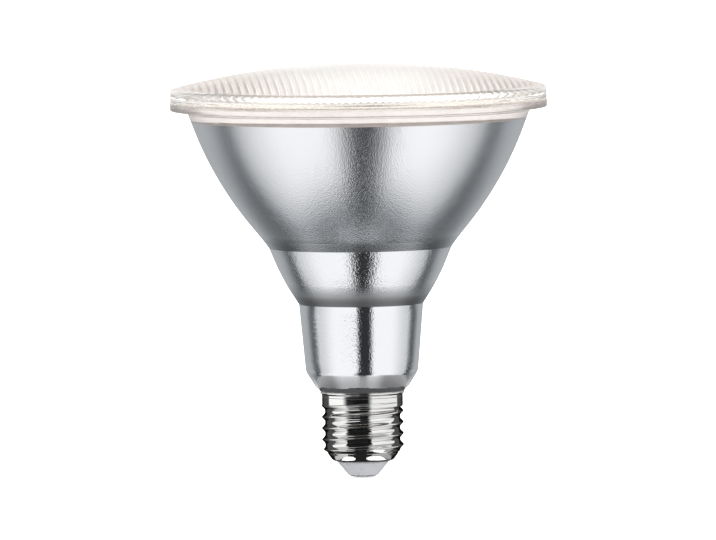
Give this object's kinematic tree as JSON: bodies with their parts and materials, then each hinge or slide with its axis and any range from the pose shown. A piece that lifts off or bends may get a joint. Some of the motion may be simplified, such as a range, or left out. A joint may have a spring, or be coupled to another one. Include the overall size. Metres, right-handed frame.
{
  "type": "par spotlight bulb",
  "caption": "Reflector spotlight bulb with a fluted clear glass lens, a silvered pressed-glass bowl and neck, and an E27 screw cap.",
  "frame": {"origin": "middle of the contact button's lower face, at the tip of the screw cap", "axes": "+Z along the lamp axis from the cap to the lens; the lens flutes run 4.2 degrees off Y"},
  "size_m": [0.121, 0.121, 0.1326],
  "materials": {
    "clear_glass": "clear pressed glass, smooth outside, fluted inside",
    "silvered_glass": "pressed glass with a faint orange-peel skin, silvered inside, clear at the rim",
    "sealant": "translucent sealant",
    "nickel_plate": "bright nickel plate",
    "white_plastic": "smooth white moulding",
    "cement": "matt cement",
    "spun_aluminium": "spun, brushed in rings",
    "grey_pad": "matt pad",
    "white_board": "white solder mask on an aluminium core",
    "led_phosphor": "yellow phosphor in a white frame",
    "steel": "zinc-plated steel",
    "green_board": "green solder mask",
    "dark_sleeve": "shrunk plastic sleeve",
    "yellow_film": "dipped resin",
    "ferrite": "matt sintered ferrite",
    "copper_winding": "varnished copper wire on a bobbin",
    "black_plastic": "moulded epoxy",
    "black_ceramic": "ceramic chip",
    "resistor_ceramic": "lacquered ceramic",
    "red_wire": "wire insulation",
    "white_wire": "wire insulation",
    "black_wire": "wire insulation"
  },
  "bodies": {
    "root": {"lens": "clear_glass", "reflector_body": "silvered_glass", "rim_seal": "sealant", "screw_shell": "nickel_plate", "centre_contact": "nickel_plate", "cap_insulator": "white_plastic", "board_connector": "white_plastic", "cap_cement": "cement", "heat_spreader": "spun_aluminium", "thermal_pad": "grey_pad", "led_board": "white_board", "led_packages": "led_phosphor", "board_screws": "steel", "driver_board": "green_board", "output_capacitor": "dark_sleeve", "input_capacitor": "yellow_film", "transformer_core": "ferrite", "transformer_winding": "copper_winding", "bridge_rectifier": "black_plastic", "driver_chip": "black_plastic", "chip_resistors": "black_ceramic", "fuse_resistor": "resistor_ceramic", "live_lead": "red_wire", "neutral_lead": "white_wire", "led_lead_positive": "red_wire", "led_lead_negative": "black_wire"}
  },
  "joints": []
}
